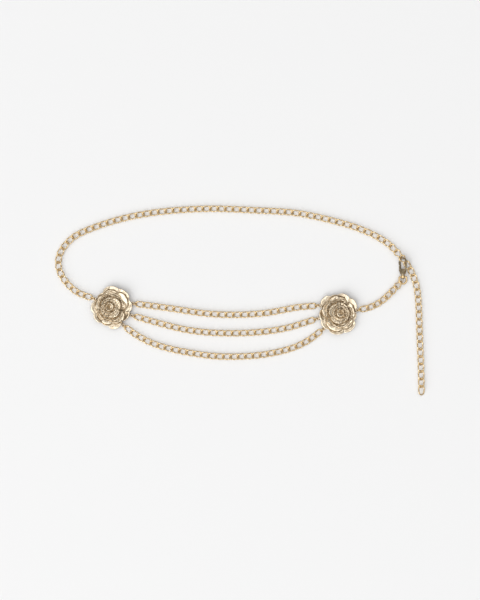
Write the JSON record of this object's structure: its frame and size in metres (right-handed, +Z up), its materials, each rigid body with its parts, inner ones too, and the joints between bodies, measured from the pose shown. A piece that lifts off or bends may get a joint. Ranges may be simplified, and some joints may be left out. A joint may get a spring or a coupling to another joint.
{
  "type": "waist chain",
  "caption": "Waist chain of curb links: cast rose ornaments joined by front strands, a long back chain with a free tail, and a snap hook on a swivel bail.",
  "frame": {"origin": "centre of the laid-out chain on the surface it lies on", "axes": "+X along the front strands from the plain rose side to the hook side, +Y toward the back chain, +Z up from the surface"},
  "size_m": [0.3914, 0.2011, 0.0111],
  "materials": {
    "chain_metal": "polished light gold plating, soft wear",
    "rose_metal": "satin pale gold plating with olive brown patina in the recesses",
    "hook_metal": "antique bronze plating, semi-matte"
  },
  "bodies": {
    "belt": {"chain_back": "chain_metal", "chain_tail": "chain_metal", "chain_side": "chain_metal", "strand_upper": "chain_metal", "strand_middle": "chain_metal", "strand_lower": "chain_metal", "rose_left": "rose_metal", "rose_right": "rose_metal", "ring_back": "chain_metal", "ring_left_upper": "chain_metal", "ring_left_middle": "chain_metal", "ring_left_lower": "chain_metal", "ring_right_upper": "chain_metal", "ring_right_middle": "chain_metal", "ring_right_lower": "chain_metal", "ring_side": "chain_metal", "hook_body": "hook_metal", "hook_bail": "chain_metal"},
    "lever": {"hook_lever": "hook_metal"}
  },
  "joints": [
    {"name": "lever_hinge", "type": "hinge", "parent": "belt", "child": "lever", "pos_m": [0.17006, 0.03185, 0.00164], "axis": [-0.6088, 0, 0.7934], "range_deg": [-20, 0], "stiffness_Nm_per_rad": 0.004, "springref_deg": 17.19}
  ]
}
